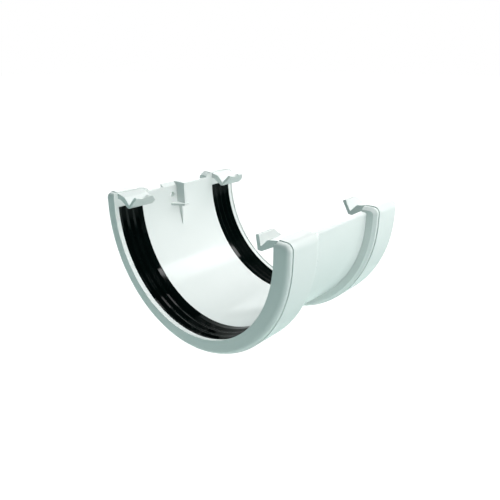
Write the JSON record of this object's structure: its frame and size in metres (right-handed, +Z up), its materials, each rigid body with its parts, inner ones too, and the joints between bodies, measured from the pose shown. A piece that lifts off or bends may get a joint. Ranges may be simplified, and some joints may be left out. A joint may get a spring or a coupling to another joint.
{
  "type": "half-round gutter union",
  "caption": "Half-round gutter union: joins two gutter ends in sealed sockets, with sprung clips over the gutter rims, a centre stop and a fixing hole in its back wall.",
  "frame": {"origin": "centre of the half-round channel, half way along it", "axes": "+X along the gutter, +Y towards the fascia board behind it, +Z up"},
  "size_m": [0.0926, 0.1294, 0.0728],
  "materials": {
    "body_plastic": "smooth moulded white, low sheen",
    "seal_rubber": "smooth black rubber with fine ribs"
  },
  "bodies": {
    "root": {"union_body": "body_plastic", "seal_left": "seal_rubber", "seal_right": "seal_rubber"}
  },
  "joints": []
}
